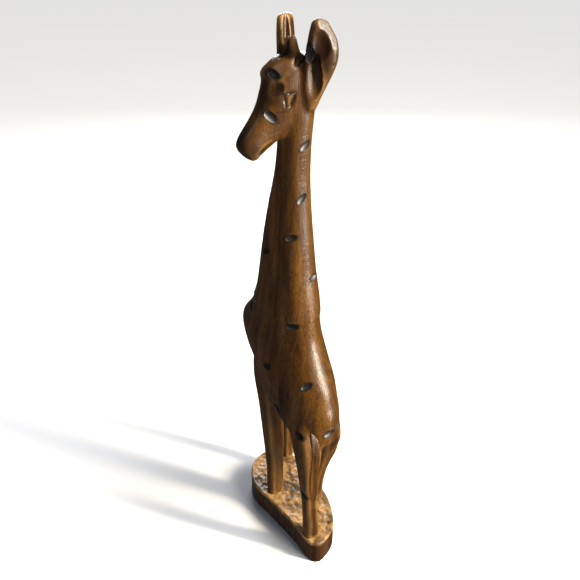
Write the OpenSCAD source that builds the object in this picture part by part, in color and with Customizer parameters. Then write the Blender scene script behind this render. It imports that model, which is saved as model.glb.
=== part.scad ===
// Carved giraffe statue, about 400 mm tall, standing on a slab base.
// Millimetres, +Z up. The body faces -Y, the head is turned to the giraffe's left, which is +X.
// The origin is on the underside of the base, below the middle of the body.
// Heights in the section lists are measured up from the top of the base.

/* [Base] */
// Thickness of the slab
base_thickness = 20; // [12:1:26]
// Length of the slab along the body
base_length = 111; // [108:1:120]
// Width of the slab across the body
base_width = 48; // [46:1:56]

/* [Seams between the carved parts] */
// Height of the seam between the hind legs and the torso
hip_seam = 80; // [76:1:81]
// Height of the seam between the front legs and the torso
shoulder_seam = 98; // [96:1:106]
// Height of the seam between the torso and the neck
neck_seam = 185; // [180:1:200]
// Height of the seam between the neck and the head, at the middle of the neck
head_seam = 304; // [300:1:306]
// Tilt of that seam, down under the chin
head_seam_tilt = 35; // [30:1:38]
// Height of the seam below the ears and the horns
ear_seam = 348; // [346:1:350]

/* [Head] */
// How far the muzzle points down
head_pitch = 47; // [42:1:50]
// Distance from the middle of the skull to the end of the muzzle
muzzle_reach = 53; // [48:1:55]

/* [Scooped marks] */
// Length of one scooped mark
mark_length = 10; // [7:0.5:11]
// Depth of one scooped mark
mark_depth = 1.2; // [0.6:0.1:1.6]
// Radius of the gouge that cuts the marks
gouge_radius = 2.8; // [2:0.1:3.2]

/* [Smoothness] */
// Sides of each cross-section
ring_sides = 28; // [24:4:36]
// Height of the bands that the body and the legs are lofted from
band_height = 5; // [4:0.5:7]

/* [Hidden] */

dark_wood = "#5a3416";
mid_wood = "#7d4d1f";
gold_wood = "#9a6429";

// A carved cross-section is between an ellipse, 2, and a rectangle
fullness = 2.5;
big = 300;
// Points blended in between two listed sections, and between two points of the base outline
body_steps = 5;
head_steps = 3;
outline_steps = 4;
// Sides of the gouge, of the tail and of the ear hollows
gouge_sides = 14;
tail_sides = 16;
hollow_sides = 24;
// How far the neck runs on inside the head below the seam
neck_overlap = 10;

// Base outline as fractions of half the width and half the length, round front first
base_outline = [[-0.12, -1], [0.42, -0.91], [0.79, -0.73], [1, -0.44], [0.87, -0.05], [0.71, 0.46],
                [0.67, 0.87], [0.46, 1], [0.12, 0.97], [-0.37, 0.83], [-0.77, 0.52], [-0.96, 0.16],
                [-1, -0.35], [-0.87, -0.78], [-0.54, -0.96]];
base_middle = [3, -0.5];

// Sections are [height, centre x, centre y, half width in x, half width in y]
torso_sections = [[82, 3, 38.5, 6.5, 4.5], [86, 2, 38, 10, 6.5], [91, 1, 36, 12.5, 9], [95, 0, 32, 15, 12.5],
                  [99, 0, 25, 17.5, 18.5], [106, 0, 13, 20.5, 30], [114, 0, 2, 22.5, 37.5],
                  [125, 0, -8.5, 24, 44.5], [138, 0, -19, 24.5, 46], [150, 0, -24.5, 24, 44.5],
                  [159, 0, -22, 22, 38.5], [170, 0, -18.5, 20, 33.5], [185, 0, -15.5, 19, 28],
                  [205, 0, -15.5, 17, 24]];
neck_sections = [[170, 0, -18.5, 20, 33.5], [185, 0, -15.5, 19, 28], [205, 0, -15.5, 17, 24],
                 [228, 0, -14.6, 15, 20.5], [252, 0, -12.6, 13, 16], [276, 0, -9.2, 11.2, 11.6],
                 [298, -0.6, -7.6, 10.4, 11], [318, -1, -7.5, 11.5, 12], [330, -1, -7.5, 11, 11.5]];
left_front_sections = [[0, 14, -12.5, 6.2, 6.4], [15, 13.3, -14, 5.7, 6.2], [38, 12.5, -16.6, 6.2, 7.6],
                       [57, 12.5, -18, 6.9, 8.6], [83, 12.5, -22, 7.2, 9.5], [104, 12.5, -27, 7.5, 10.5],
                       [125, 12, -26, 8.5, 11]];
right_front_sections = [[0, -16, -44.5, 4.8, 5.4], [15, -15.6, -44, 4.4, 5], [38, -15, -42, 4.6, 5.8],
                        [57, -14, -39, 5.4, 7], [83, -13, -35, 6.6, 8.6], [104, -12.5, -31, 7.5, 10.5],
                        [125, -12, -26, 8.5, 11]];
left_hind_sections = [[0, 12.6, 42, 5.6, 5.9], [14, 13.4, 42.5, 5, 6], [30, 14.6, 42.5, 4.7, 5.6],
                      [45, 14.8, 41, 5.1, 6.5], [62, 14.5, 39, 6, 8], [76, 14, 36.8, 7.4, 10.2],
                      [88, 12.6, 32.5, 8.6, 12], [100, 10.5, 25, 8, 11], [110, 9, 20, 7, 9]];
right_hind_sections = [[0, -13, 8, 4.7, 5], [12, -13, 9.5, 4.3, 4.6], [28, -13, 13, 4.1, 4.9],
                       [44, -13, 17.5, 4.5, 5.8], [59, -13, 22, 5.6, 7.6], [72, -10.8, 25.5, 6.2, 9.4],
                       [80, -8.5, 28.5, 6.8, 11], [89, -6, 31, 7, 12.3], [98, -5, 29, 8, 13],
                       [108, -5, 24, 8, 12]];
left_ear_sections = [[316, -4, -2, 7, 6], [324, -5.2, 0.5, 7.5, 6.5], [331, -6.6, 3, 8.2, 6.8],
                     [338, -8, 5.6, 9, 6.4], [347, -9, 8.2, 10.2, 5.6], [356, -8.8, 10, 9.4, 4.8],
                     [363, -8, 11, 8, 4], [371, -6.6, 9.8, 4.4, 3]];
right_ear_sections = [[336, -0.4, -16.4, 7, 5], [348, -1.3, -19, 7.6, 4.6], [358, -1.8, -20.7, 7.8, 4.2],
                      [368, -1.8, -21.4, 7.6, 3.4], [371, -1.8, -21.4, 7, 3]];
// The ridge of the brow, right across the forehead
brow_sections = [[331, 11, -9, 4, 6], [335, 13, -9.5, 6.5, 10], [339, 13, -9.5, 7, 11],
                 [343, 11, -9, 6, 9.5], [347, 8, -8.5, 4, 6.5]];
left_horn_sections = [[344, 1.5, -2.6, 3.3, 3.3], [353, 2.6, -2.8, 2.9, 2.9], [361.5, 3.6, -3, 1.8, 1.8]];
right_horn_sections = [[344, 1.5, -10.8, 3.3, 3.3], [353, 2.6, -10, 2.9, 2.9], [361, 3.6, -9.2, 1.8, 1.8]];
left_ear_turn = -30;
right_ear_turn = 30;

// The round cutters at both ends of an ear's hollow: [x, y, z, radius]
left_ear_hollow = [[-3.5, 16.5, 352, 7], [-4, 17.5, 364, 5]];
right_ear_hollow = [[-4, -12.7, 354, 4.5], [-4, -14.7, 376, 4.5]];

// Head sections are [distance along the muzzle, rise across it, half width, half depth]
head_sections = [[-20, 0, 7, 6], [-15, 0.3, 11, 11.3], [-7, 1, 12.5, 16.5], [3, 0.7, 12.5, 18.9],
                 [13, -2.6, 11.4, 17.2], [23, -3.4, 9.5, 13.4], [33, -2.3, 8.1, 10.6],
                 [muzzle_reach - 11, -1.7, 7.7, 9.4], [muzzle_reach - 4.5, -1.7, 7.3, 8.6],
                 [muzzle_reach, -2.6, 6, 6.4]];
skull = [1, -8, 332];

// The tail lies down the rump and the back of the left hind leg: [x, y, z, half width]
tail_path = [[10, 39.8, 99, 2], [11.4, 43.6, 90, 2.9], [12.8, 46, 78, 3.2], [13.6, 46, 68, 3.2],
             [14, 46, 58, 3.1], [14.2, 46.4, 49, 2.8], [14.3, 46.8, 41, 2.2], [14.4, 47.4, 34, 1.2]];
tail_flatness = 0.75;

// Marks are [height, direction round the section, tilt of the long axis]
torso_marks = [[165, -48, 20], [171, 69, -12], [133, 25, 8], [131, 76, -32], [168, 160, 12], [150, -120, -10],
               [140, 150, 25], [122, -165, 0], [128, -40, 15]];
neck_marks = [[296, 97, -35], [261, 91, -38], [235, 65, -12], [219, -11, 10], [204, 107, -20],
              [282, -75, 30], [250, -130, 25], [226, 175, 10], [208, -95, -15]];
// Marks on the hips and the head are [x, y, z, heading, lean upwards, tilt of the long axis]
hip_marks = [[20.7, 35, 95, 5, 0, 24], [0.4, 44.4, 95.8, 88, 0, -12]];
head_marks = [[18.3, -3, 341, 35, 50, 28], [19.5, 0.5, 315.5, 75, 10, 40], [18, -13, 338, -40, 50, -25]];

// Catmull-Rom blend between b and c
function blend(a, b, c, d, t) =
    0.5 * (2 * b + (c - a) * t + (2 * a - 5 * b + 4 * c - d) * t * t + (3 * b - a - 3 * c + d) * t * t * t);
function at(list, i) = list[max(0, min(len(list) - 1, i))];
function smooth(list, n) = [
    for (i = [0 : len(list) - 2], k = [0 : n - 1])
        blend(at(list, i - 1), list[i], list[i + 1], at(list, i + 2), k / n),
    list[len(list) - 1]
];
function smooth_loop(list, n) = [
    for (i = [0 : len(list) - 1], k = [0 : n - 1])
        blend(list[(i + len(list) - 1) % len(list)], list[i], list[(i + 1) % len(list)],
              list[(i + 2) % len(list)], k / n)
];

// Heights of the lowest and the highest section of a list
function low(list) = list[0][0];
function high(list) = list[len(list) - 1][0];

// The section of a smoothed list at height z
function section(list, z) = [z, for (k = [1 : 4]) lookup(z, [for (s = list) [s[0], s[k]]])];
function heights(from, to) = let (n = ceil((to - from) / band_height)) [
    for (i = [0 : n]) from + (to - from) * i / n
];
function sections_between(list, from, to) = let (dense = smooth(list, body_steps)) [
    for (z = heights(from, to)) section(dense, z)
];

// Cross-section outlines
function bulge(v) = sign(v) * pow(abs(v), 2 / fullness);
function ring(s, slope = 0, turn = 0) = [
    for (i = [0 : ring_sides - 1])
        let (a = 360 * i / ring_sides, u = s[3] * bulge(cos(a)), v = s[4] * bulge(sin(a)))
        [s[1] + u * cos(turn) - v * sin(turn), s[2] + u * sin(turn) + v * cos(turn),
         s[0] - slope * (u * cos(turn) - v * sin(turn))]
];
function head_ring(s) = [
    for (i = [0 : ring_sides - 1]) let (a = 360 * i / ring_sides, rise = s[1] + s[3] * sin(a))
        skull + [s[0] * cos(head_pitch) + rise * sin(head_pitch), s[2] * cos(a),
                 rise * cos(head_pitch) - s[0] * sin(head_pitch)]
];

// Surface of a section in direction a
function reach(s, a) =
    pow(pow(abs(cos(a) / s[3]), fullness) + pow(abs(sin(a) / s[4]), fullness), -1 / fullness);
function surface_point(s, a) = [s[1] + reach(s, a) * cos(a), s[2] + reach(s, a) * sin(a), s[0]];
function facing(s, a) = atan2(pow(abs(sin(a) / s[4]), fullness - 1) * sign(sin(a)) / s[4],
                              pow(abs(cos(a) / s[3]), fullness - 1) * sign(cos(a)) / s[3]);

// One closed skin through a list of rings, each with the same number of points
module loft(rings) {
    n = len(rings[0]);
    last = len(rings) - 1;
    points = [for (r = rings, p = r) p];
    sides = [
        for (k = [0 : last - 1], i = [0 : n - 1]) let (j = (i + 1) % n, a = k * n, b = a + n)
            each [[a + i, b + i, b + j], [a + i, b + j, a + j]]
    ];
    ends = [[for (i = [0 : n - 1]) i], [for (i = [n - 1 : -1 : 0]) last * n + i]];
    polyhedron(points, concat(sides, ends), convexity = 6);
}

// The same form as a stack of convex bands, for the roots that blend into a bigger part
module bands(sections, turn = 0) {
    for (i = [0 : len(sections) - 2])
        hull()
            loft([ring(sections[i], 0, turn), ring(sections[i + 1], 0, turn)]);
}

module on_base() {
    translate([0, 0, base_thickness]) children();
}

module leg(list, top) {
    on_base() loft([for (s = sections_between(list, 0, top)) ring(s)]);
}

// The root of a leg, from its seam up into the body
module thigh(list, seam) {
    dense = smooth(list, body_steps);
    bands([for (z = [seam, (seam + high(list)) / 2, high(list)]) section(dense, z)]);
}

// A boat-shaped scoop whose floor lies mark_depth inside the surface
module scoop(place, heading, lean, tilt) {
    half_width = sqrt(mark_depth * (2 * gouge_radius - mark_depth));
    translate(place) rotate([0, -lean, heading]) rotate([tilt, 0, 0])
        translate([gouge_radius - mark_depth, 0, 0])
            hull() {
                for (side = [-1, 1])
                    translate([0, side * (mark_length / 2 - half_width), 0])
                        sphere(gouge_radius, $fn = gouge_sides);
            }
}

module placed_scoops(list) {
    for (m = list)
        scoop([m[0], m[1], m[2]], m[3], m[4], m[5]);
}

module marks(list, body) {
    dense = smooth(body, body_steps);
    for (m = list) {
        s = section(dense, m[0]);
        scoop(surface_point(s, m[1]), facing(s, m[1]), 0, m[2]);
    }
}

module under_head_seam() {
    s = section(smooth(neck_sections, body_steps), head_seam);
    translate([s[1], 0, s[0]]) rotate([0, head_seam_tilt, 0])
        translate([-big / 2, -big / 2, -big]) cube(big);
}

module base() {
    color(dark_wood)
        linear_extrude(base_thickness)
            polygon([
                for (p = smooth_loop(base_outline, outline_steps))
                    base_middle + [p[0] * base_width / 2, p[1] * base_length / 2]
            ]);
}

module left_front_leg() {
    color(mid_wood) leg(left_front_sections, shoulder_seam);
}

module right_front_leg() {
    color(mid_wood) leg(right_front_sections, shoulder_seam);
}

module left_hind_leg() {
    color(mid_wood) leg(left_hind_sections, hip_seam);
}

module right_hind_leg() {
    color(mid_wood) leg(right_hind_sections, hip_seam);
}

module torso() {
    color(gold_wood) on_base() difference() {
        union() {
            loft([for (s = sections_between(torso_sections, low(torso_sections), neck_seam)) ring(s)]);
            thigh(left_front_sections, shoulder_seam);
            thigh(right_front_sections, shoulder_seam);
            thigh(left_hind_sections, hip_seam);
            thigh(right_hind_sections, hip_seam);
        }
        marks(torso_marks, torso_sections);
        placed_scoops(hip_marks);
    }
}

module tail() {
    color(mid_wood) difference() {
        on_base()
            for (i = [0 : len(tail_path) - 2])
                hull() {
                    tail_bead(tail_path[i]);
                    tail_bead(tail_path[i + 1]);
                }
        torso();
        left_hind_leg();
    }
}

module tail_bead(p) {
    translate([p[0], p[1], p[2]]) scale([1, tail_flatness, 1]) sphere(p[3], $fn = tail_sides);
}

module neck() {
    // The rings tilt bit by bit over the top third, until the last one lies in the head seam
    tilt_from = neck_seam + (head_seam - neck_seam) * 2 / 3;
    color(gold_wood) on_base() difference() {
        loft([
            for (s = sections_between(neck_sections, neck_seam, head_seam))
                let (share = max(0, (s[0] - tilt_from) / (head_seam - tilt_from)))
                ring(s, tan(head_seam_tilt) * share)
        ]);
        marks(neck_marks, neck_sections);
    }
}

module head() {
    color(mid_wood) on_base() difference() {
        union() {
            loft([for (s = smooth(head_sections, head_steps)) head_ring(s)]);
            loft([
                for (s = sections_between(neck_sections, head_seam - neck_overlap, high(neck_sections)))
                    ring(s)
            ]);
            bands(sections_between(brow_sections, low(brow_sections), high(brow_sections)));
            root(left_ear_sections, left_ear_turn);
            root(right_ear_sections, right_ear_turn);
            root(left_horn_sections);
            root(right_horn_sections);
        }
        under_head_seam();
        placed_scoops(head_marks);
    }
}

// The root of an ear or a horn, up to the seam
module root(list, turn = 0) {
    bands(sections_between(list, low(list), ear_seam), turn);
}

module ear(list, turn, hollow) {
    on_base() difference() {
        bands(sections_between(list, ear_seam, high(list)), turn);
        hull() {
            for (end = hollow)
                translate([end[0], end[1], end[2]]) sphere(end[3], $fn = hollow_sides);
        }
    }
}

// The broad ear, hollowed on the side that faces back
module left_ear() {
    color(mid_wood) ear(left_ear_sections, left_ear_turn, left_ear_hollow);
}

// The upright ear, whose groove runs out of its top
module right_ear() {
    color(mid_wood) ear(right_ear_sections, right_ear_turn, right_ear_hollow);
}

module horn(list) {
    on_base() loft([for (s = sections_between(list, ear_seam, high(list))) ring(s)]);
}

module left_horn() {
    color(dark_wood) horn(left_horn_sections);
}

module right_horn() {
    color(dark_wood) horn(right_horn_sections);
}

base();
left_front_leg();
right_front_leg();
left_hind_leg();
right_hind_leg();
torso();
tail();
neck();
head();
left_ear();
right_ear();
left_horn();
right_horn();
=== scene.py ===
import math

import bpy
import numpy as np
from mathutils import Matrix, Vector
from mathutils.bvhtree import BVHTree
from mathutils.kdtree import KDTree


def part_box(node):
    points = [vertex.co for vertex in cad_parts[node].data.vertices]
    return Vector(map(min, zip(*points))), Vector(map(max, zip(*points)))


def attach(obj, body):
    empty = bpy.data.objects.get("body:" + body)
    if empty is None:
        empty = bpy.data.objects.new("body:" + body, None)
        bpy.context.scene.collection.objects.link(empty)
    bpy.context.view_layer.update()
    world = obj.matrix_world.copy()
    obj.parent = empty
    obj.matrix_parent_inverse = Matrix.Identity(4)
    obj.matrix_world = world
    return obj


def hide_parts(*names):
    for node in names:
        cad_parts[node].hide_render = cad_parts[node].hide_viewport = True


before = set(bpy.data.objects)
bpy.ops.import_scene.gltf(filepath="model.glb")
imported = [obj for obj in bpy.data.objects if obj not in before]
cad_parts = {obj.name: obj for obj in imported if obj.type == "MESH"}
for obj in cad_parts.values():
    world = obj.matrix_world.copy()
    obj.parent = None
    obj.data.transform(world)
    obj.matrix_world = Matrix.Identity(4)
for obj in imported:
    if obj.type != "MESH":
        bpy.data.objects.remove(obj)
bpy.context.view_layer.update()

# Carved giraffe statue: one block of oiled hardwood, shaped limb by limb and burnt with a hot gouge.
# Lengths in the dictionaries are millimetres and angles degrees. Heights start at the top of the base.
mm = 0.001
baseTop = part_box("base")[1]
floorOfFeet = baseTop.z / mm
bpy.ops.object.select_all(action="DESELECT")

carving = {
    "ringSpacing": 5,       # one ring of the limbs every so far
    "cornerSegments": 6,    # round each corner of a ring
    "roughVoxel": 1.1,      # blocks the limbs into one body
    "roughSmooth": 10,      # rounds that off as a rasp does
    "fineVoxel": 0.8,       # small enough for crisp chisel edges
    "fineSmooth": 3,        # sandpaper over the chisel cuts
    "creaseAngle": 40,      # sharper corners than this stay crisp
    "gougeSides": 40,
    "justOutside": 9,       # how far off the wood a cut is aimed from
    "farOutside": 60,
}


def selectOnly(*pieces):
    bpy.ops.object.select_all(action="DESELECT")
    for piece in pieces:
        piece.select_set(True)
    bpy.context.view_layer.objects.active = pieces[0]


def useModifier(piece, kind, settings):
    selectOnly(piece)
    modifier = piece.modifiers.new(kind.title(), kind)
    for name, value in settings.items():
        setattr(modifier, name, value)
    bpy.ops.object.modifier_apply(modifier=modifier.name)


def applyPlace(piece):
    selectOnly(piece)
    bpy.ops.object.transform_apply(location=True, rotation=True, scale=True)


def joinAll(pieces, name):
    selectOnly(*pieces)
    bpy.ops.object.join()
    joined = bpy.context.object
    joined.name = name
    return joined


def curveBetween(a, b, c, d, t):
    return 0.5 * (2 * b + (c - a) * t + (2 * a - 5 * b + 4 * c - d) * t * t
                  + (3 * b - a - 3 * c + d) * t ** 3)


def denseStations(stations):
    points = [Vector(station) for station in stations]
    last = len(points) - 1
    rings = []
    for i in range(last):
        span = points[i + 1][0] - points[i][0]
        count = max(1, round(span / carving["ringSpacing"]))
        for k in range(count):
            rings.append(curveBetween(points[max(i - 1, 0)], points[i], points[i + 1],
                                      points[min(i + 2, last)], k / count))
    rings.append(points[last])
    return rings


def growLimb(name, stations, roundness, lift=floorOfFeet, turn=0):
    # A limb grows ring by ring from a rounded square of half width 1.
    # A station is height, middle x, middle y, half width x, half width y
    spin = Matrix.Rotation(math.radians(-turn), 2)
    rings = denseStations(stations)
    places = []
    for ring in rings:
        middle = spin @ Vector((ring[1], ring[2]))
        places.append(Vector((middle.x, middle.y, ring[0] + lift)) * mm)
    bpy.ops.mesh.primitive_plane_add(size=2 * mm)
    limb = bpy.context.object
    limb.name = name
    bpy.ops.object.mode_set(mode="EDIT")
    bpy.ops.mesh.select_mode(type="VERT")
    bpy.ops.mesh.select_all(action="SELECT")
    bpy.ops.mesh.bevel(offset=roundness * mm, segments=carving["cornerSegments"], affect="VERTICES")
    bpy.ops.transform.resize(value=(rings[0][3], rings[0][4], 1), center_override=(0, 0, 0))
    bpy.ops.transform.translate(value=places[0])
    for i in range(1, len(rings)):
        bpy.ops.mesh.extrude_region_move(TRANSFORM_OT_translate={"value": places[i] - places[i - 1]})
        bpy.ops.transform.resize(value=(rings[i][3] / rings[i - 1][3], rings[i][4] / rings[i - 1][4], 1),
                                 center_override=places[i])
    bpy.ops.mesh.select_all(action="DESELECT")
    bpy.ops.mesh.select_non_manifold()
    bpy.ops.mesh.edge_face_add()      # the open foot of the limb
    bpy.ops.mesh.select_all(action="SELECT")
    bpy.ops.mesh.normals_make_consistent(inside=False)
    bpy.ops.object.mode_set(mode="OBJECT")
    limb.rotation_euler.z = math.radians(turn)
    applyPlace(limb)
    useModifier(limb, "SUBSURF", {"levels": 1, "render_levels": 1})
    return limb


legs = {
    "roundness": 0.42,     # share of the half width that a corner rounds off
    "leftFront": [[-2, 14, -12.3, 6.3, 6.5], [0, 14, -12.5, 6.2, 6.4], [15, 13.3, -14, 5.7, 6.2],
                  [38, 12.5, -16.6, 6.2, 7.6], [57, 12.5, -18, 6.9, 8.6], [83, 12.5, -22, 7.2, 9.5],
                  [104, 12.5, -27, 7.5, 10.5], [125, 12, -26, 8.5, 11]],
    "rightFront": [[-2, -16, -44.5, 4.9, 5.5], [0, -16, -44.5, 4.8, 5.4], [15, -15.6, -44, 4.4, 5],
                   [38, -15, -42, 4.6, 5.8], [57, -14, -39, 5.4, 7], [83, -13, -35, 6.6, 8.6],
                   [104, -12.5, -31, 7.5, 10.5], [125, -12, -26, 8.5, 11]],
    "leftHind": [[-2, 12.6, 42, 5.7, 6], [0, 12.6, 42, 5.6, 5.9], [14, 13.4, 42.5, 5, 6],
                 [30, 14.6, 42.5, 4.7, 5.6], [45, 14.8, 41, 5.1, 6.5], [62, 14.5, 39, 6, 8],
                 [76, 14, 36.8, 7.4, 10.2], [88, 12.6, 32.5, 8.6, 12], [100, 10.5, 25, 8, 11],
                 [110, 9, 20, 7, 9]],
    "rightHind": [[-2, -13, 8, 4.8, 5.1], [0, -13, 8, 4.7, 5], [12, -13, 9.5, 4.3, 4.6],
                  [28, -13, 13, 4.1, 4.9], [44, -13, 17.5, 4.5, 5.8], [59, -13, 22, 5.6, 7.6],
                  [72, -10.8, 25.5, 6.2, 9.4], [80, -8.5, 28.5, 6.8, 11], [89, -6, 31, 7, 12.3],
                  [98, -5, 29, 8, 13], [108, -5, 24, 8, 12]],
}

torso = {
    "roundness": 0.93,
    "stations": [[82, 3, 38.5, 6.5, 4.5], [86, 2, 38, 10, 6.5], [91, 1, 36, 12.5, 9], [95, 0, 32, 15, 12.5],
                 [99, 0, 25, 17.5, 18.5], [106, 0, 13, 20.5, 30], [114, 0, 2, 22.5, 37.5],
                 [125, 0, -8.5, 24, 44.5], [138, 0, -19, 24.5, 46], [150, 0, -24.5, 24, 44.5],
                 [159, 0, -22, 22, 38.5], [170, 0, -18.5, 20, 33.5], [185, 0, -15.5, 19, 28],
                 [205, 0, -15.5, 17, 24]],
    # The belly is left boxy, and one long curved cut under it makes the sharp edge along the flank
    "bellyRoundness": 0.4,
    "bellyStations": [[84, 0, 20, 19.5, 12], [92, 0, 14, 20.5, 17], [98, 0, 6, 21.5, 22.5],
                      [104, 0, 1, 22, 24.5], [112, 0, -2, 22.3, 25.5], [122, 0, -4, 21, 22],
                      [130, 0, -6, 18, 18]],
    "bellyCut": {"block": (80, 130, 40), "blockY": -5, "upTo": 112.5,
                 "drumRadius": 90, "drumSides": 128, "drumLength": 100, "drumY": 34.5,
                 "drumLowest": 87.7},
}

neck = {
    "roundness": 0.84,
    "stations": [[170, 0, -18.5, 20, 33.5], [185, 0, -15.5, 19, 28], [205, 0, -15.5, 17, 24],
                 [228, 0, -14.6, 15, 20.5], [252, 0, -12.6, 13, 16], [276, 0, -9.2, 11.2, 11.6],
                 [298, -0.6, -7.6, 10.4, 11], [318, -1, -7.5, 11.5, 12], [330, -1, -7.5, 11, 11.5]],
}

head = {
    "roundness": 0.7,
    "skull": (1, -8, 332),      # middle of the skull above the base top
    "pitch": 47,                # the muzzle points this far down
    # Distance along the muzzle, fall across it, sideways, half depth, half width
    "stations": [[-20, 0, 0, 6, 7], [-15, -0.3, 0, 11.3, 11], [-7, -1, 0, 16.5, 12.5],
                 [3, -0.7, 0, 18.9, 12.5], [13, 2.6, 0, 17.2, 11.4], [23, 3.4, 0, 13.4, 9.5],
                 [33, 2.3, 0, 10.6, 8.1], [42, 1.7, 0, 9.4, 7.7], [48.5, 1.7, 0, 8.6, 7.3],
                 [53, 2.6, 0, 6, 5.8]],
    # The ridge of the brow, right across the forehead
    "browStations": [[331, 11, -9, 4, 6], [335, 13, -9.5, 6.5, 10], [339, 13, -9.5, 7, 11],
                     [343, 11, -9, 6, 9.5], [347, 8, -8.5, 4, 6.5]],
}

ears = {
    "roundness": 0.8,
    "left": [[316, -4, -2, 7, 6], [324, -5.2, 0.5, 7.5, 6.5], [331, -6.6, 3, 8.2, 6.8],
             [338, -8, 5.6, 9, 6.4], [347, -9, 8.2, 10.2, 5.6], [356, -8.8, 10, 9.4, 4.8],
             [363, -8, 11, 8, 4], [371, -6.6, 9.8, 4.4, 3]],
    "leftTurn": -30,
    "right": [[336, -0.4, -16.4, 7, 5], [348, -1.3, -19, 7.6, 4.6], [358, -1.8, -20.7, 7.8, 4.2],
              [368, -1.8, -21.4, 7.6, 3.4], [371, -1.8, -21.4, 7, 3]],
    "rightTurn": 30,
}

horns = {
    "roundness": 0.6,
    "left": [[344, 1.5, -2.6, 3.3, 3.3], [353, 2.6, -2.8, 2.9, 2.9], [361.5, 3.6, -3, 1.8, 1.8]],
    "right": [[344, 1.5, -10.8, 3.3, 3.3], [353, 2.6, -10, 2.9, 2.9], [361, 3.6, -9.2, 1.8, 1.8]],
}


def bellyCutter():
    # What is left of a block once a big drum is taken out of it
    cut = torso["bellyCut"]
    blockHeight = cut["upTo"] + floorOfFeet - cut["block"][2] / 2
    drumHeight = cut["drumLowest"] + cut["drumRadius"] + floorOfFeet
    bpy.ops.mesh.primitive_cube_add(size=1)
    block = bpy.context.object
    block.scale = Vector(cut["block"]) * mm
    block.location = Vector((0, cut["blockY"], blockHeight)) * mm
    applyPlace(block)
    bpy.ops.mesh.primitive_cylinder_add(vertices=cut["drumSides"], radius=cut["drumRadius"] * mm,
                                        depth=cut["drumLength"] * mm, rotation=(0, math.pi / 2, 0))
    drum = bpy.context.object
    drum.location = Vector((0, cut["drumY"], drumHeight)) * mm
    applyPlace(drum)
    carve(block, drum)
    return block


def carve(piece, cutter):
    useModifier(piece, "BOOLEAN", {"operation": "DIFFERENCE", "object": cutter, "solver": "MANIFOLD",
                                   "material_mode": "TRANSFER"})
    bpy.data.objects.remove(cutter)


def growHead():
    grown = growLimb("head", head["stations"], head["roundness"], lift=0)
    grown.rotation_euler.y = math.radians(90 + head["pitch"])
    grown.location = (Vector(head["skull"]) + Vector((0, 0, floorOfFeet))) * mm
    applyPlace(grown)
    return grown


def blockOut():
    barrel = growLimb("barrel", torso["stations"], torso["roundness"])
    belly = growLimb("belly", torso["bellyStations"], torso["bellyRoundness"])
    carve(belly, bellyCutter())
    limbs = [barrel, belly]
    for name in ("leftFront", "rightFront", "leftHind", "rightHind"):
        limbs.append(growLimb(name, legs[name], legs["roundness"]))
    limbs.append(growLimb("neck", neck["stations"], neck["roundness"]))
    limbs.append(growHead())
    limbs.append(growLimb("brow", head["browStations"], head["roundness"]))
    limbs.append(growLimb("leftEar", ears["left"], ears["roundness"], turn=ears["leftTurn"]))
    limbs.append(growLimb("rightEar", ears["right"], ears["roundness"], turn=ears["rightTurn"]))
    limbs.append(growLimb("leftHorn", horns["left"], horns["roundness"]))
    limbs.append(growLimb("rightHorn", horns["right"], horns["roundness"]))
    statue = joinAll(limbs, "statue")
    useModifier(statue, "REMESH", {"mode": "VOXEL", "voxel_size": carving["roughVoxel"] * mm})
    useModifier(statue, "SMOOTH", {"factor": 0.5, "iterations": carving["roughSmooth"]})
    return statue


def addGouge(place, facing, along, size, sunk=0.65):
    # An egg-shaped bite: size is length, width and depth, and sunk is the share of it below the surface
    out = Vector(facing).normalized()
    run = Vector(along)
    run = (run - run.dot(out) * out).normalized()
    across = out.cross(run)
    reach = size[2] / sunk
    sides = carving["gougeSides"]
    bpy.ops.mesh.primitive_uv_sphere_add(segments=sides, ring_count=sides // 2, radius=1)
    gouge = bpy.context.object
    turned = Matrix((run, across, out)).transposed().to_4x4()
    middle = Vector(place) + out * (1 - sunk) * reach
    gouge.matrix_world = (Matrix.Translation(middle * mm) @ turned
                          @ Matrix.Diagonal((size[0] / 2 * mm, size[1] / 2 * mm, reach * mm, 1)))
    applyPlace(gouge)
    return gouge


# Cuts that are only sanded and oiled: place, facing, tilt of the long axis, [length, width, depth]
chiselCuts = {
    "leftEarHollow": [(-5.6, 14.2, 355), (0.5, 0.86, 0.05), 80, [26, 14, 2.4]],
    "rightEarHollow": [(-0.2, -15.6, 361), (0.35, 0.93, 0.1), 90, [34, 6.4, 2.6]],
    "browHollow": [(18, 1, 332), (0.55, 0.8, 0.2), 10, [15, 10, 1.8]],
    "farBrowHollow": [(18, -17, 332), (0.55, -0.8, 0.2), -10, [15, 10, 1.8]],
    "cheekBack": [(-2.5, 4.5, 332), (-0.05, 1, 0), 88, [40, 12, 1.8]],
    "farCheekBack": [(-2.5, -20, 332), (-0.05, -1, 0), 88, [40, 12, 1.8]],
    "earRoot": [(1.5, 1.5, 348), (0.4, 0.8, 0.45), 60, [12, 5, 2]],
    "hornRoot": [(6, -7, 351), (0.95, 0.1, 0.3), 80, [14, 3, 1.6]],
    "jawSide": [(19, 0, 298), (-0.2, 0.75, -0.63), 46, [30, 7, 0.8]],
    "farJawSide": [(19, -16, 298), (-0.2, -0.75, -0.63), -46, [30, 7, 0.8]],
}

# The eye is a raised triangle between grooves: across, up, tilt, length, width, depth
eyes = {
    "place": (9.1, 3.5, 324.4),
    "facing": (0.16, 0.99, -0.05),
    "grooves": [[-2.8, 0, -77, 12, 2.0, 1.0], [1.7, -0.2, 66, 12, 2.4, 1.4], [-0.4, 5.2, 5, 10.5, 1.6, 0.8],
                [-4.4, -5.8, -4, 9, 0.9, 0.4]],
    "darkShare": 0.8,      # of a groove's width is drawn darker
}

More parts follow.
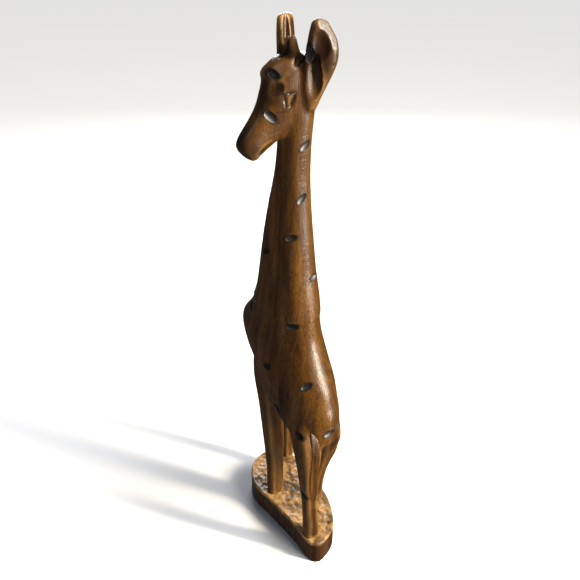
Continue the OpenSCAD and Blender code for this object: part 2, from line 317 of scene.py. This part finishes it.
# Flat chisel cuts: place on the wood, facing, how far below the highest wood there, width of the chisel
flats = {
    "forehead": [(16.7, -4.2, 339.9), (0.68, 0.56, 0.47), 1.3, 17],
    "leftEarRim": [(-13, 12.5, 362), (-0.1, 0.93, 0.35), 3, 26],
}

# Burnt marks: height, direction round the body, tilt, and length, width, depth
burntMarks = {
    "size": [10.6, 5.3, 1.4],
    "onNeck": [[296, 97, 35], [261, 91, 40], [235, 65, 12], [219, -11, 28], [204, 107, 10],
               [282, -75, -30], [250, -130, -25], [226, 175, -10], [208, -95, 15], [268, 178, 20]],
    "onBody": [[165, -48, -20], [171, 69, 10], [133, 25, 28], [131, 76, 30], [168, 160, -12],
               [150, -120, 10], [140, 150, -25], [122, -165, 0], [128, -40, -15]],
    # Place, facing, tilt
    "onHips": [[(20.7, 35.1, 94.9), (0.99, 0.07, 0.13), 6], [(0.4, 44.4, 95.8), (0.05, 0.94, 0.34), 12],
               [(-20, 35, 95), (-0.99, 0.1, 0.1), 20], [(19.8, 42.2, 43.6), (1, 0, 0), -5],
               [(21.8, 6, 101), (1, 0, -0.1), -15]],
    "onHead": [[(16.7, -4.2, 339.9), (0.71, 0.51, 0.48), -22],
               [(20.8, 0.4, 316.4), (0.31, 0.95, 0.08), -40],
               [(20.8, -16.4, 316.4), (0.31, -0.95, 0.08), 40]],
    "headSize": [13, 6, 1.5],
    "inEar": [[(-0.7, 9.8, 351.5), (0.69, 0.72, -0.08), 90]],
    "earSize": [11.5, 10.5, 1.7],
}

# Drying cracks: place, facing, tilt, length
cracks = {
    "width": 0.35,
    "at": [[(6, 12.6, 182), (0.2, 0.97, 0.1), 8, 3.6], [(-3.5, 44, 88), (-0.1, 0.97, 0.1), 4, 4.2],
           [(9, 20, 146), (0.2, 0.9, 0.3), 80, 5]],
}


def surfaceTree(piece):
    return BVHTree.FromObject(piece, bpy.context.evaluated_depsgraph_get())


def sideways(facing):
    return Vector((0, 0, 1)).cross(facing).normalized()


def slantAlong(facing, tilt):
    across = sideways(facing)
    upward = facing.cross(across)
    return across * math.cos(math.radians(tilt)) + upward * math.sin(math.radians(tilt))


def findWood(tree, place, facing):
    # Where a line from just outside meets the wood
    start = (Vector(place) + Vector((0, 0, floorOfFeet)) + facing * carving["justOutside"]) * mm
    hit, normal = tree.ray_cast(start, -facing)[:2]
    if hit is None:
        return Vector(place) + Vector((0, 0, floorOfFeet)), facing
    return hit / mm, normal


def roundAbout(tree, stations, height, direction):
    # The point of the surface in one direction from the middle of a limb
    dense = denseStations(stations)
    ring = min(dense, key=lambda station: abs(station[0] - height))
    outward = Vector((math.cos(math.radians(direction)), math.sin(math.radians(direction)), 0))
    middle = Vector((ring[1], ring[2], height + floorOfFeet))
    start = (middle + outward * carving["farOutside"]) * mm
    hit, normal = tree.ray_cast(start, -outward)[:2]
    return hit / mm, normal


def planeOff(piece, place, facing, depth, width):
    # A flat is cut by a block that stands on the plane
    spot = Vector(place) + Vector((0, 0, floorOfFeet))
    near = [v.co / mm for v in piece.data.vertices if (v.co / mm - spot).length < width / 2]
    highest = max(co.dot(facing) for co in near)
    bpy.ops.mesh.primitive_cube_add(size=width * mm)
    block = bpy.context.object
    level = spot + facing * (highest - depth - spot.dot(facing) + width / 2)
    turned = facing.to_track_quat("Z", "Y").to_matrix().to_4x4()
    block.matrix_world = Matrix.Translation(level * mm) @ turned
    applyPlace(block)
    carve(piece, block)


def cutChisel(piece):
    tree = surfaceTree(piece)
    cutters = []
    for place, facing, tilt, size in chiselCuts.values():
        outward = Vector(facing).normalized()
        spot = findWood(tree, place, outward)[0]
        cutters.append(addGouge(spot, outward, slantAlong(outward, tilt), size, sunk=0.5))
    grooves = []
    for side in (1, -1):
        outward = Vector((eyes["facing"][0], eyes["facing"][1] * side, eyes["facing"][2])).normalized()
        middleY = head["skull"][1]
        place = Vector((eyes["place"][0], middleY + (eyes["place"][1] - middleY) * side, eyes["place"][2]))
        across = sideways(outward)
        upward = outward.cross(across)
        for offset, rise, tilt, length, width, depth in eyes["grooves"]:
            spot = findWood(tree, place + across * offset * side + upward * rise, outward)[0]
            run = slantAlong(outward, tilt * side)
            cutters.append(addGouge(spot, outward, run, [length, width, depth]))
            grooves.append([spot, outward, tilt * side, [length, width * eyes["darkShare"]]])
    for cutter in cutters:
        carve(piece, cutter)
    for place, facing, depth, width in flats.values():
        planeOff(piece, place, Vector(facing).normalized(), depth, width)
    return grooves


def burnMarks(piece):
    # Hot gouge scoops, and the list of where the wood round them is scorched
    tree = surfaceTree(piece)
    spots = []
    for limb, group in ((neck, "onNeck"), (torso, "onBody")):
        for height, direction, tilt in burntMarks[group]:
            place, normal = roundAbout(tree, limb["stations"], height, direction)
            spots.append([place, normal, tilt, burntMarks["size"]])
    for group, size in (("onHips", "size"), ("onHead", "headSize"), ("inEar", "earSize")):
        for place, facing, tilt in burntMarks[group]:
            place, normal = findWood(tree, place, Vector(facing).normalized())
            spots.append([place, normal, tilt, burntMarks[size]])
    cutters = []
    for place, normal, tilt, size in spots:
        cutters.append(addGouge(place, normal, slantAlong(normal, tilt), size))
    width = cracks["width"]
    for place, facing, tilt, length in cracks["at"]:
        place, normal = findWood(tree, place, Vector(facing).normalized())
        cutters.append(addGouge(place, normal, slantAlong(normal, tilt), [length, width, width]))
    scoops = joinAll(cutters, "scoops")
    scoops.data.materials.clear()
    scoops.data.materials.append(burntWood)
    carve(piece, scoops)
    return spots


# Scorch and wear, and also painted shade and painted highlight, laid on as colour
finishAndPaintedLight = {
    "scorchReach": 1.25,     # in mark sizes
    "scorchFull": 0.9,
    "scorchStrength": 0.75,
    "patchReach": 1.25,      # in patch radii
    "cornerSteps": 6,        # how wide a corner is looked at
    "cornerSpread": 3,
    "cornerHeight": 0.35,    # a corner that stands out this far is fully worn
    # Place, radius, strength
    # Painted shade: darker patches at the muzzle end, under the brows, in both ear hollows, behind the
    # cheek, at the root of the horns and under the belly
    "paintedShadePatches": [[(37, -8, 297), 17, 0.9], [(18, 2, 330), 8, 0.75], [(18, -18, 330), 8, 0.75],
               [(-8, 11, 354), 22, 0.85], [(-2, 5, 332), 12, 0.45], [(2, -13, 360), 9, 0.6],
               [(6, -6, 352), 6, 0.7], [(0, -20, 88), 26, 0.5]],
    # Painted highlight on the forehead and the bridge of the nose, partly lighter sanded wood
    "wearAndHighlight": [[(14, -4, 343), 11, 0.6], [(14, -12, 343), 11, 0.6], [(30, -6, 314), 8, 0.3]],
}


def smoothStep(share):
    share = np.clip(share, 0, 1)
    return share * share * (3 - 2 * share)


def paintFinishAndLight(piece, spots):
    # Where the finish is darker or lighter: red is scorch round the burnt marks and the darker eye grooves,
    # green is painted shade, blue is wear and painted highlight
    mesh = piece.data
    count = len(mesh.vertices)
    places = np.empty(count * 3)
    mesh.vertices.foreach_get("co", places)
    places = places.reshape(-1, 3) / mm
    scorch = np.zeros(count)
    for place, normal, tilt, size in spots:
        run = slantAlong(normal, tilt)
        across = normal.cross(run)
        away = places - np.array(place)
        ratio = np.sqrt((away @ np.array(run) / (size[0] / 2)) ** 2
                        + (away @ np.array(across) / (size[1] / 2)) ** 2
                        + (away @ np.array(normal) / size[1]) ** 2)
        fade = finishAndPaintedLight["scorchReach"] - finishAndPaintedLight["scorchFull"]
        scorch = np.maximum(scorch, smoothStep((finishAndPaintedLight["scorchReach"] - ratio) / fade))
    tones = np.ones((count, 4))
    tones[:, 0] = scorch * finishAndPaintedLight["scorchStrength"]
    # Painted shade in the hollows and under the belly
    tones[:, 1] = softPatches(places, finishAndPaintedLight["paintedShadePatches"])
    # Worn raised edges, and painted highlight on the forehead and nose
    tones[:, 2] = np.maximum(softPatches(places, finishAndPaintedLight["wearAndHighlight"]), cornerWear(mesh, places))
    # This colour layer holds scorch, wear, painted shade and painted highlight
    layer = mesh.color_attributes.new("finishAndPaintedLight", "FLOAT_COLOR", "POINT")
    layer.data.foreach_set("color", tones.ravel())


def softPatches(places, patches):
    share = np.zeros(len(places))
    for place, radius, strength in patches:
        away = np.linalg.norm(places - np.array(place) - np.array([0, 0, floorOfFeet]), axis=1)
        share = np.maximum(share, strength * smoothStep(finishAndPaintedLight["patchReach"] - away / radius))
    return share


def cornerWear(mesh, places):
    # How far a vertex stands out from its neighbours, spread a little way along the surface
    ends = np.empty(len(mesh.edges) * 2, dtype=int)
    mesh.edges.foreach_get("vertices", ends)
    first, second = ends.reshape(-1, 2).T
    links = np.bincount(ends, minlength=len(places)).clip(1)
    normals = np.empty(len(places) * 3)
    mesh.vertices.foreach_get("normal", normals)
    normals = normals.reshape(-1, 3)

    def neighbourMean(values):
        total = np.zeros_like(values)
        np.add.at(total, first, values[second])
        np.add.at(total, second, values[first])
        return total / (links[:, None] if values.ndim > 1 else links)

    rounded = places
    for step in range(finishAndPaintedLight["cornerSteps"]):
        rounded = neighbourMean(rounded)
    standing = ((places - rounded) * normals).sum(axis=1)
    for step in range(finishAndPaintedLight["cornerSpread"]):
        standing = neighbourMean(standing)
    return np.clip(standing / finishAndPaintedLight["cornerHeight"], 0, 1)


def colour(hexCode):
    channels = [int(hexCode[i:i + 2], 16) / 255 for i in (1, 3, 5)]
    return [c / 12.92 if c <= 0.04045 else ((c + 0.055) / 1.055) ** 2.4 for c in channels] + [1]


def addNode(tree, kind, settings, inputs):
    node = tree.nodes.new(kind)
    for name, value in settings.items():
        setattr(node, name, value)
    for name, value in inputs.items():
        if isinstance(value, bpy.types.NodeSocket):
            tree.links.new(value, node.inputs[name])
        else:
            node.inputs[name].default_value = value
    return node


def startMaterial(name):
    material = bpy.data.materials.new(name)
    material.use_nodes = True
    return material, material.node_tree, material.node_tree.nodes["Principled BSDF"]


bodyWood = {
    "dark": "#1a0b01",
    "middle": "#331b03",
    "gold": "#633f09",
    "pore": "#1d0d04",
    "scorch": "#130a05",
    # Painted shade for the hollows and under the belly
    "paintedShade": "#1c0d03",
    # Colour of worn edges, and painted highlight on the forehead and nose
    "wearAndHighlight": "#a07642",
    "streakWidth": 8,       # broad growth bands
    "fibreWidth": 1.1,
    "poreWidth": 0.7,       # real pores are finer, drawn as coarse as they need to show
    "scratchWidth": 0.5,
    "scratchSlants": (38, -46),
    "smoothest": 0.2,       # roughness between the fibres
}


def woodGrain(tree, values, axisStretch):
    # Object coordinates squeezed along the trunk, so that every pattern runs as long fibres
    place = addNode(tree, "ShaderNodeTexCoord", {}, {}).outputs["Object"]
    along = addNode(tree, "ShaderNodeMapping", {}, {
        "Vector": place, "Scale": axisStretch}).outputs["Vector"]
    streaks = addNode(tree, "ShaderNodeTexNoise", {}, {
        "Vector": along, "Scale": 1 / (values["streakWidth"] * mm), "Detail": 3, "Roughness": 0.55,
        "Distortion": 0.6}).outputs["Fac"]
    fibres = addNode(tree, "ShaderNodeTexNoise", {}, {
        "Vector": along, "Scale": 1 / (values["fibreWidth"] * mm), "Detail": 4,
        "Roughness": 0.6}).outputs["Fac"]
    short = addNode(tree, "ShaderNodeMapping", {}, {
        "Vector": place, "Scale": (1, 1, 0.28)}).outputs["Vector"]
    pores = addNode(tree, "ShaderNodeTexNoise", {}, {
        "Vector": short, "Scale": 1 / (values["poreWidth"] * mm), "Detail": 2}).outputs["Fac"]
    return place, streaks, fibres, pores


def layTones(tree, values, layers):
    # Each layer tints what is below it where its pattern is strong: pattern, the range of it that
    # counts, how much it tints at both ends, and the tone
    base = colour(values["dark"])
    for pattern, low, high, least, most, tone in layers:
        share = addNode(tree, "ShaderNodeMapRange", {}, {
            "Value": pattern, "From Min": low, "From Max": high, "To Min": least, "To Max": most})
        # Sockets 0, 6, 7 and 2 are the factor, the two colours and the result of a colour mix
        base = addNode(tree, "ShaderNodeMix", {"data_type": "RGBA"}, {
            0: share.outputs["Result"], 6: base, 7: colour(values[tone])}).outputs[2]
    return base


def sandingMarks(tree, place, values):
    # Sandpaper left hairlines across the fibres, slanting both ways
    lines = []
    for slant in values["scratchSlants"]:
        turned = addNode(tree, "ShaderNodeMapping", {}, {
            "Vector": place, "Rotation": (0, math.radians(slant), math.radians(slant / 2)),
            "Scale": (0.06, 1, 1)}).outputs["Vector"]
        line = addNode(tree, "ShaderNodeTexNoise", {}, {
            "Vector": turned, "Scale": 1 / (values["scratchWidth"] * mm), "Detail": 1}).outputs["Fac"]
        lines.append(addNode(tree, "ShaderNodeMapRange", {}, {
            "Value": line, "From Min": 0.6, "From Max": 0.75}).outputs["Result"])
    return addNode(tree, "ShaderNodeMath", {"operation": "MAXIMUM"}, {
        0: lines[0], 1: lines[1]}).outputs["Value"]


def makePolishedWood():
    # Oiled and waxed hardwood, sanded: dark and gold streaks along the trunk, fine pores, a soft gloss
    values = bodyWood
    material, tree, shader = startMaterial("oiledCarvedHardwood")
    place, streaks, fibres, pores = woodGrain(tree, values, (1, 1, 0.05))
    # Scorch, wear, painted shade and painted highlight, read from the mesh
    painted = addNode(tree, "ShaderNodeAttribute", {"attribute_name": "finishAndPaintedLight"}, {}).outputs["Color"]
    tones = addNode(tree, "ShaderNodeSeparateColor", {}, {"Color": painted}).outputs
    base = layTones(tree, values, [
        [streaks, 0.28, 0.68, 0, 1, "gold"],
        [fibres, 0.35, 0.7, 0.1, 0.7, "middle"],
        [pores, 0.57, 0.66, 0, 0.85, "pore"],
        # Worn edges, and painted highlight on the forehead and nose
        [tones["Blue"], 0.2, 1, 0, 0.7, "wearAndHighlight"],
        # Painted shade in the hollows and under the belly
        [tones["Green"], 0, 1, 0, 1, "paintedShade"],
        # Scorch round the burnt marks, and the darker eye grooves
        [tones["Red"], 0, 1, 0, 1, "scorch"],
    ])
    scratched = sandingMarks(tree, place, values)
    # Roughness and height are each a sum of weighted patterns
    rough = addNode(tree, "ShaderNodeMath", {"operation": "MULTIPLY_ADD"}, {
        0: fibres, 1: 0.22, 2: values["smoothest"]}).outputs["Value"]
    rough = addNode(tree, "ShaderNodeMath", {"operation": "MULTIPLY_ADD"}, {
        0: scratched, 1: 0.12, 2: rough}).outputs["Value"]
    height = addNode(tree, "ShaderNodeMath", {"operation": "MULTIPLY_ADD"}, {
        0: pores, 1: -0.7, 2: fibres}).outputs["Value"]
    height = addNode(tree, "ShaderNodeMath", {"operation": "MULTIPLY_ADD"}, {
        0: scratched, 1: -0.5, 2: height}).outputs["Value"]
    bump = addNode(tree, "ShaderNodeBump", {}, {
        "Height": height, "Strength": 0.5, "Distance": 0.2 * mm}).outputs["Normal"]
    tree.links.new(base, shader.inputs["Base Color"])
    tree.links.new(rough, shader.inputs["Roughness"])
    tree.links.new(bump, shader.inputs["Normal"])
    shader.inputs["IOR"].default_value = 1.45
    shader.inputs["Specular IOR Level"].default_value = 0.45
    return material


charredWood = {
    "dark": "#0a0808",
    "fibre": "#241a16",
    "fibreWidth": 0.8,
}


def makeBurntWood():
    # Charred by the hot gouge and waxed over: black with a cold sheen, the fibres stand up a little
    values = charredWood
    material, tree, shader = startMaterial("charredScoop")
    place = addNode(tree, "ShaderNodeTexCoord", {}, {}).outputs["Object"]
    along = addNode(tree, "ShaderNodeMapping", {}, {
        "Vector": place, "Scale": (1, 1, 0.2)}).outputs["Vector"]
    char = addNode(tree, "ShaderNodeTexNoise", {}, {
        "Vector": along, "Scale": 1 / (values["fibreWidth"] * mm), "Detail": 3}).outputs["Fac"]
    base = layTones(tree, values, [[char, 0, 1, 0, 1, "fibre"]])
    rough = addNode(tree, "ShaderNodeMapRange", {}, {
        "Value": char, "From Min": 0.3, "From Max": 0.7, "To Min": 0.4, "To Max": 0.6}).outputs["Result"]
    bump = addNode(tree, "ShaderNodeBump", {}, {
        "Height": char, "Strength": 0.4, "Distance": 0.15 * mm}).outputs["Normal"]
    tree.links.new(base, shader.inputs["Base Color"])
    tree.links.new(rough, shader.inputs["Roughness"])
    tree.links.new(bump, shader.inputs["Normal"])
    shader.inputs["IOR"].default_value = 1.5
    shader.inputs["Coat Weight"].default_value = 0.3
    shader.inputs["Coat Roughness"].default_value = 0.35
    return material


slabWood = {
    "dark": "#402d19",
    "middle": "#664a2b",
    "gold": "#b08a58",
    "pore": "#1d0d04",
    "side": "#2c1507",
    "sideFrom": 1.2,       # below the top
    "sideFull": 3.2,
    "streakWidth": 9,
    "fibreWidth": 1.3,
    "poreWidth": 0.6,
}


def makeSlabWood():
    # The foot of the same block: chip-carved and thickly waxed on top, smooth and darker down the sides
    values = slabWood
    material, tree, shader = startMaterial("waxedSlabHardwood")
    place, streaks, fibres, pores = woodGrain(tree, values, (1, 1, 0.12))
    height = addNode(tree, "ShaderNodeSeparateXYZ", {}, {"Vector": place}).outputs["Z"]
    base = layTones(tree, values, [
        [streaks, 0.36, 0.62, 0, 1, "gold"],
        [fibres, 0.35, 0.7, 0.1, 0.7, "middle"],
        [pores, 0.6, 0.72, 0, 0.8, "pore"],
        [height, baseTop.z - values["sideFrom"] * mm, baseTop.z - values["sideFull"] * mm, 0, 0.92, "side"],
    ])
    rough = addNode(tree, "ShaderNodeMapRange", {}, {
        "Value": fibres, "From Min": 0.3, "From Max": 0.7, "To Min": 0.22, "To Max": 0.4}).outputs["Result"]
    bump = addNode(tree, "ShaderNodeBump", {}, {
        "Height": fibres, "Strength": 0.5, "Distance": 0.25 * mm}).outputs["Normal"]
    tree.links.new(base, shader.inputs["Base Color"])
    tree.links.new(rough, shader.inputs["Roughness"])
    tree.links.new(bump, shader.inputs["Normal"])
    shader.inputs["Specular IOR Level"].default_value = 0.25
    shader.inputs["Coat Weight"].default_value = 0.25
    shader.inputs["Coat Roughness"].default_value = 0.18
    return material


polishedWood = makePolishedWood()
burntWood = makeBurntWood()
waxedSlab = makeSlabWood()

# Where the saw goes between the named parts
seams = {
    "headTilt": 35,       # down under the chin
    "headX": -0.6,
    "headHeight": 304,
    "headAboveNeck": 60,  # the head's cut looks no lower than this above the foot of the neck
    "bellyStart": -9.5,
    "bellyRise": 8,       # the belly comes down this far below the shoulders
    "betweenLegs": -2,
    "margin": 9,
    "reach": 4,           # faces this close to a plane are cut
    # What comes off the crown one after the other: a place on the cut and the side that comes off
    "tips": [["left_ear", (-0.8, 1, 0), (-0.6, 0.8, 0)], ["right_ear", (-4.2, -14.6, 0), (0.5, -0.87, 0)],
             ["left_horn", (0, -6.7, 0), (0, 1, 0)]],
    "tipReach": 40,
}


def pickFaces(piece, test):
    count = len(piece.data.polygons)
    centres = np.empty(count * 3)
    piece.data.polygons.foreach_get("center", centres)
    picked = test(centres.reshape(-1, 3) / mm)
    selectOnly(piece)
    bpy.ops.object.mode_set(mode="EDIT")
    bpy.ops.mesh.select_mode(type="FACE")
    bpy.ops.mesh.select_all(action="DESELECT")
    bpy.ops.object.mode_set(mode="OBJECT")
    piece.data.polygons.foreach_set("select", picked)
    bpy.ops.object.mode_set(mode="EDIT")


def closeCut(piece):
    selectOnly(piece)
    bpy.ops.object.mode_set(mode="EDIT")
    bpy.ops.mesh.select_all(action="SELECT")
    bpy.ops.mesh.fill_holes(sides=0)
    bpy.ops.object.mode_set(mode="OBJECT")


def everywhere(centres):
    return centres[:, 2] > 0


def sawOff(piece, place, facing, region=everywhere, reach=seams["reach"]):
    # The part on the facing side of the plane comes off as an object of its own
    saw = np.array(Vector(facing).normalized())
    point = np.array(place)

    def above(centres):
        return (centres - point) @ saw

    pickFaces(piece, lambda centres: (abs(above(centres)) < reach) & region(centres))
    bpy.ops.mesh.bisect(plane_co=Vector(place) * mm, plane_no=saw)
    bpy.ops.object.mode_set(mode="OBJECT")
    pickFaces(piece, lambda centres: (above(centres) > 0) & region(centres))
    bpy.ops.mesh.separate(type="SELECTED")
    bpy.ops.object.mode_set(mode="OBJECT")
    part = [found for found in bpy.context.selected_objects if found != piece][0]
    closeCut(piece)
    closeCut(part)
    return part


def splitLoose(piece):
    selectOnly(piece)
    bpy.ops.object.mode_set(mode="EDIT")
    bpy.ops.mesh.separate(type="LOOSE")
    bpy.ops.object.mode_set(mode="OBJECT")
    return list(bpy.context.selected_objects)


def middleOf(piece):
    places = np.array([vertex.co for vertex in piece.data.vertices])
    return Vector((places.min(axis=0) + places.max(axis=0)) / 2)


def nearestNode(piece, nodes):
    # Which CAD node this part stands for
    return min(nodes, key=lambda node: (sum(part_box(node), Vector()) / 2 - middleOf(piece)).length)


def shareOut(parts, pieces, nodes):
    for piece in sorted(pieces, key=lambda found: -len(found.data.polygons)):
        node = nearestNode(piece, nodes)
        if node in parts:
            parts[node] = joinAll([parts[node], piece], node)
        else:
            parts[node] = piece


def sawApart(statue):
    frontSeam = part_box("left_front_leg")[1].z / mm
    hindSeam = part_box("left_hind_leg")[1].z / mm
    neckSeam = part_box("neck")[0].z / mm
    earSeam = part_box("left_ear")[0].z / mm
    margin = seams["margin"]

    def frontLegs(centres):
        # The belly comes down behind the front legs, so higher up the limit lies further forward
        besideBelly = centres[:, 2] > frontSeam - seams["bellyRise"]
        limit = np.where(besideBelly, seams["bellyStart"], seams["betweenLegs"])
        return (centres[:, 1] < limit) & (centres[:, 2] < frontSeam + margin)

    def hindLegs(centres):
        return (centres[:, 1] > seams["betweenLegs"]) & (centres[:, 2] < hindSeam + margin)

    parts = {"torso": statue}
    front = sawOff(statue, (0, 0, frontSeam), (0, 0, -1), frontLegs)
    hind = sawOff(statue, (0, 0, hindSeam), (0, 0, -1), hindLegs)
    for pair, nodes in ((front, ["left_front_leg", "right_front_leg"]),
                        (hind, ["left_hind_leg", "right_hind_leg"])):
        shareOut(parts, splitLoose(pair), nodes)
    top = sawOff(statue, (0, 0, neckSeam), (0, 0, 1), lambda c: c[:, 2] > neckSeam - margin)
    parts["neck"] = top
    tilt = math.radians(seams["headTilt"])
    headPart = sawOff(top, (seams["headX"], 0, seams["headHeight"] + floorOfFeet),
                      (math.sin(tilt), 0, math.cos(tilt)),
                      lambda c: c[:, 2] > neckSeam + seams["headAboveNeck"])
    parts["head"] = headPart
    tips = sawOff(headPart, (0, 0, earSeam), (0, 0, 1), lambda c: c[:, 2] > earSeam - margin)
    for node, place, facing in seams["tips"]:
        parts[node] = sawOff(tips, place, facing, reach=seams["tipReach"])
    parts["right_horn"] = tips
    return parts


print("Blocking out the body")
statue = blockOut()
print("Chisel cuts")
eyeGrooves = cutChisel(statue)
useModifier(statue, "REMESH", {"mode": "VOXEL", "voxel_size": carving["fineVoxel"] * mm})
useModifier(statue, "SMOOTH", {"factor": 0.5, "iterations": carving["fineSmooth"]})
statue.data.materials.clear()
statue.data.materials.append(polishedWood)
print("Burning the marks")
markSpots = burnMarks(statue)
paintFinishAndLight(statue, markSpots + eyeGrooves)
print("Sawing into", len(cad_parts), "parts")
parts = sawApart(statue)

tail = {
    "roundness": 0.3,
    "stations": [[34, 14.4, 46.1, 1.2, 1.4], [41, 14.3, 45.2, 2.6, 2.7], [49, 14.3, 44.6, 3.4, 3.1],
                 [58, 14.1, 44.3, 3.7, 3.3], [68, 13.6, 44.2, 3.8, 3.5], [78, 12.8, 43.7, 3.7, 3.6],
                 [87, 11.8, 41.4, 3.4, 3.7], [94, 11, 38.9, 2.8, 3.6], [99, 10.4, 36, 1.8, 2.4]],
}


def makeTail():
    strip = growLimb("tail", tail["stations"], tail["roundness"])
    strip.data.materials.append(polishedWood)
    return strip


print("Tail")
parts["tail"] = makeTail()

slab = {
    "rimBevel": 1.1,
    "rimSegments": 3,
    "topMargin": 0.1,
    "voxel": 0.6,
    "smooth": 2,
    "chipSize": 4.6,
    "chipDepth": 1.2,
    "wavySize": 22,
    "wavyDepth": 0.6,
    "ledgeWidth": 0.8,     # left flat round the edge
    "ledgeFade": 4,        # the chips reach their depth this far inside it
    "edgeFacing": 0.5,     # steeper than this is wall, flatter than topFacing is top
    "topFacing": 0.7,
    # Long strokes of the chisel: place, heading, [length, width, depth]
    "strokes": [[(6, -0.5), 150, [22, 2, 1.5]], [(2, 9), 165, [16, 1.6, 1.2]],
                [(-3, -25), 40, [18, 1.6, 1.2]], [(15, -29), 110, [14, 1.5, 1]],
                [(17.4, 33), 92, [30, 1.3, 1]], [(4.5, 48), 24, [19, 1.3, 1]]],
}


def makeBase():
    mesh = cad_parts["base"].data.copy()
    mesh.materials.clear()
    base = bpy.data.objects.new("base", mesh)
    bpy.context.scene.collection.objects.link(base)
    selectOnly(base)
    bpy.ops.object.mode_set(mode="EDIT")
    bpy.ops.mesh.select_all(action="SELECT")
    bpy.ops.mesh.remove_doubles(threshold=0.01 * mm)
    bpy.ops.mesh.dissolve_limited(angle_limit=math.radians(1))
    bpy.ops.object.mode_set(mode="OBJECT")
    pickFaces(base, lambda centres: centres[:, 2] > floorOfFeet - slab["topMargin"])
    bpy.ops.mesh.select_mode(type="EDGE")
    bpy.ops.mesh.region_to_loop()
    bpy.ops.mesh.bevel(offset=slab["rimBevel"] * mm, segments=slab["rimSegments"], affect="EDGES")
    bpy.ops.object.mode_set(mode="OBJECT")
    useModifier(base, "REMESH", {"mode": "VOXEL", "voxel_size": slab["voxel"] * mm})
    useModifier(base, "SMOOTH", {"factor": 0.5, "iterations": slab["smooth"]})
    chipTop(base)
    for place, heading, size in slab["strokes"]:
        along = Vector((math.cos(math.radians(heading)), math.sin(math.radians(heading)), 0))
        carve(base, addGouge((place[0], place[1], floorOfFeet), (0, 0, 1), along, size))
    base.data.materials.clear()
    base.data.materials.append(waxedSlab)
    return base


def chipTop(base):
    # Chips are cut down into the top and never stand above it
    normals = [vertex.normal.z for vertex in base.data.vertices]
    edge = KDTree(len(normals))
    for index, vertex in enumerate(base.data.vertices):
        if abs(normals[index]) < slab["edgeFacing"]:
            edge.insert(vertex.co, index)
    edge.balance()
    group = base.vertex_groups.new(name="chips")
    for index, vertex in enumerate(base.data.vertices):
        if normals[index] > slab["topFacing"]:
            away = edge.find(vertex.co)[2] / mm
            share = min(max((away - slab["ledgeWidth"]) / slab["ledgeFade"], 0), 1)
            group.add([index], share, "REPLACE")
    chips = bpy.data.textures.new("chips", "VORONOI")
    chips.noise_scale = slab["chipSize"] * mm
    waves = bpy.data.textures.new("waves", "CLOUDS")
    waves.noise_scale = slab["wavySize"] * mm
    for texture, depth in ((chips, slab["chipDepth"]), (waves, slab["wavyDepth"])):
        useModifier(base, "DISPLACE", {"texture": texture, "texture_coords": "LOCAL", "direction": "Z",
                                       "mid_level": 1, "strength": depth * mm, "vertex_group": "chips"})
    base.vertex_groups.clear()


print("Base")
parts["base"] = makeBase()

for node, part in parts.items():
    part.name = node + "Carved"
    selectOnly(part)
    bpy.ops.object.shade_smooth_by_angle(angle=math.radians(carving["creaseAngle"]))
    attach(part, "root")
    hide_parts(node)
    print(node, len(part.data.polygons), "faces")

# The studio is measured in metres
studio = {
    "floorSize": 14,
    "floorColour": "#f4f3f1",
    "floorRoughness": 0.9,
    "worldColour": "#c9cdd4",
    "worldStrength": 0.08,
    # Place, aimed at, size across, size up, power, colour
    "windowRight": [(-0.55, 0.67, 0.48), (0, 0, 0.2), 0.08, 0.8, 30, "#fff3de"],
    "skyLeft": [(0.85, 0.12, 1), (0, 0, 0.35), 0.3, 0.3, 1, "#cfe0fa"],
    "behind": [(-0.5, -0.86, 0.6), (0, 0, 0.05), 0.5, 0.3, 6, "#f2f6ff"],
    "daylight": {"strength": 3.4, "softness": 45, "tilt": (-28, -30, 0)},
    "camera": {"place": (0.2121, 0.3551, 0.444), "turn": (60.76, 0, 150), "lens": 42.2},
}


def addFloor():
    # Matt and pale, so that the shadows stay soft
    bpy.ops.mesh.primitive_plane_add(size=studio["floorSize"])
    floor = bpy.context.object
    floor.name = "floor"
    material, _, shader = startMaterial("mattPaintedFloor")
    shader.inputs["Base Color"].default_value = colour(studio["floorColour"])
    shader.inputs["Roughness"].default_value = studio["floorRoughness"]
    floor.data.materials.append(material)
    floor.visible_glossy = False      # the polish mirrors the dim room, not the floor


def addSoftbox(name):
    place, aim, across, up, power, tint = studio[name]
    bpy.ops.object.light_add(type="AREA", location=place)
    lamp = bpy.context.object
    lamp.name = name
    lamp.data.shape = "RECTANGLE"
    lamp.data.size = across
    lamp.data.size_y = up
    lamp.data.energy = power
    lamp.data.color = colour(tint)[:3]
    lamp.rotation_euler = (Vector(aim) - Vector(place)).to_track_quat("-Z", "Y").to_euler()


def addDaylight():
    # Very soft light from overhead that keeps the floor evenly pale
    daylight = studio["daylight"]
    bpy.ops.object.light_add(type="SUN", rotation=[math.radians(turn) for turn in daylight["tilt"]])
    lamp = bpy.context.object
    lamp.data.energy = daylight["strength"]
    lamp.data.angle = math.radians(daylight["softness"])


def addCamera():
    # Close above the left hind quarter, looking down
    values = studio["camera"]
    bpy.ops.object.camera_add(location=values["place"],
                              rotation=[math.radians(turn) for turn in values["turn"]])
    camera = bpy.context.object
    camera.data.lens = values["lens"]
    bpy.context.scene.camera = camera


addFloor()
addDaylight()
for name in ("windowRight", "skyLeft", "behind"):
    addSoftbox(name)
addCamera()
world = bpy.data.worlds.new("studioWorld")
bpy.context.scene.world = world
world.use_nodes = True
world.node_tree.nodes["Background"].inputs["Color"].default_value = colour(studio["worldColour"])
world.node_tree.nodes["Background"].inputs["Strength"].default_value = studio["worldStrength"]
bpy.context.scene.view_settings.view_transform = "Standard"
